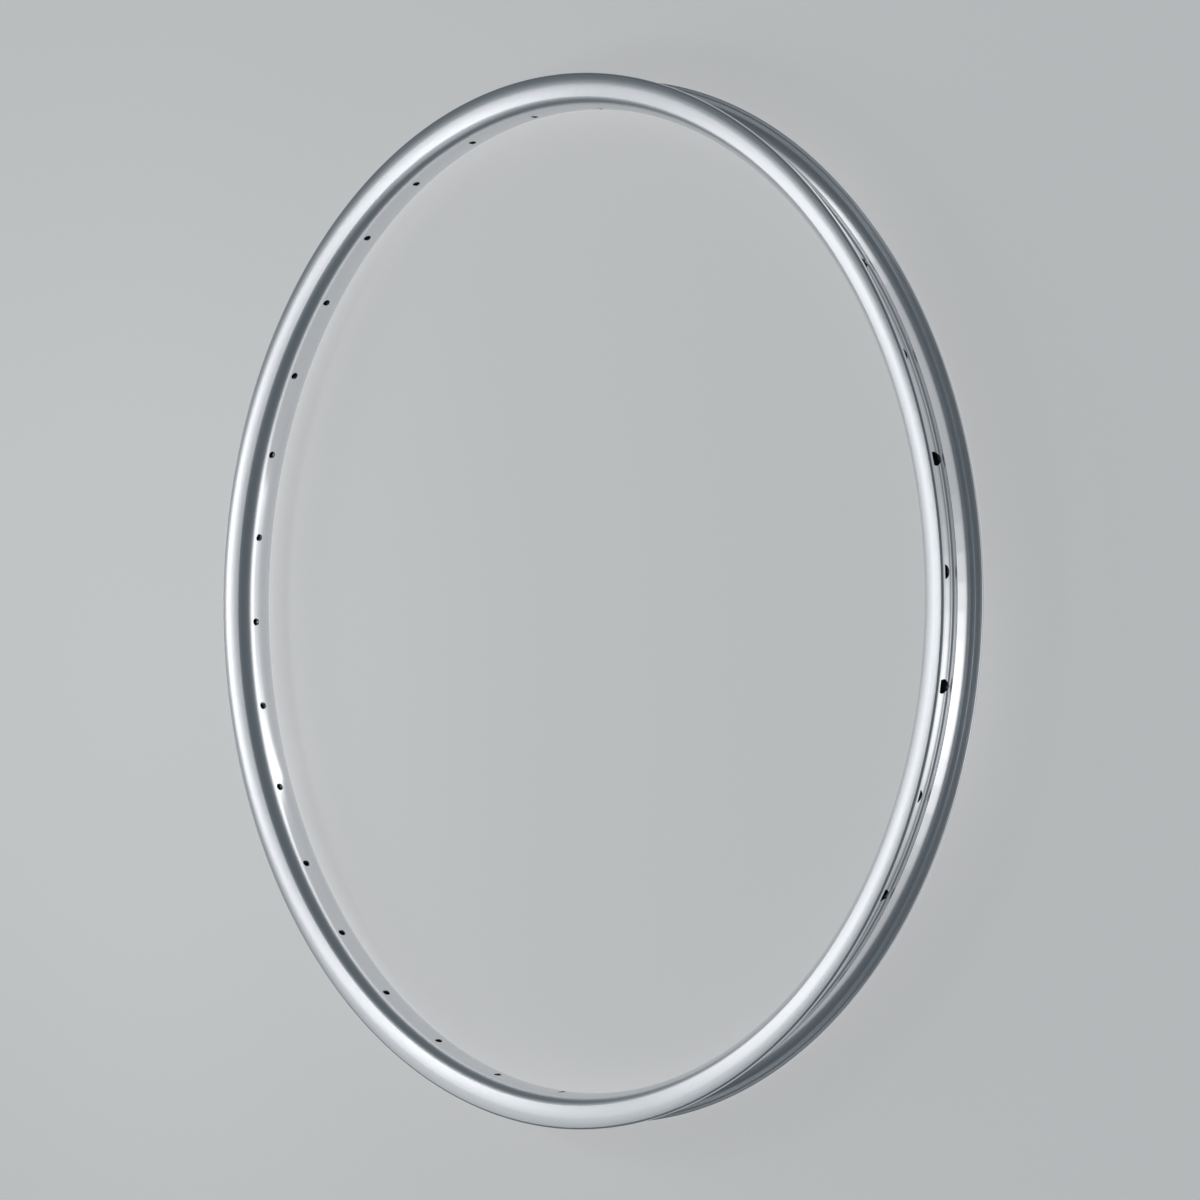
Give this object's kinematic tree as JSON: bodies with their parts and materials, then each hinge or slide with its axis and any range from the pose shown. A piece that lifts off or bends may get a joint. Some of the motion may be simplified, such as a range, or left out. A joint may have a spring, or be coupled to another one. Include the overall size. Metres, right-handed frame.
{
  "type": "bicycle rim",
  "caption": "Wide bicycle rim: hollow aluminium hoop with a hooked tyre channel outside and an offset line of spoke holes inside.",
  "frame": {"origin": "centre of the hoop, midway between the two flanges", "axes": "+Z along the hoop's axis, towards the side that the spoke holes are offset to; +X through the valve hole"},
  "size_m": [0.633, 0.633, 0.0348],
  "materials": {
    "rim_metal": "satin silver, blasted and anodised, brighter and smoother in the tyre channel"
  },
  "bodies": {
    "root": {"rim": "rim_metal"}
  },
  "joints": []
}
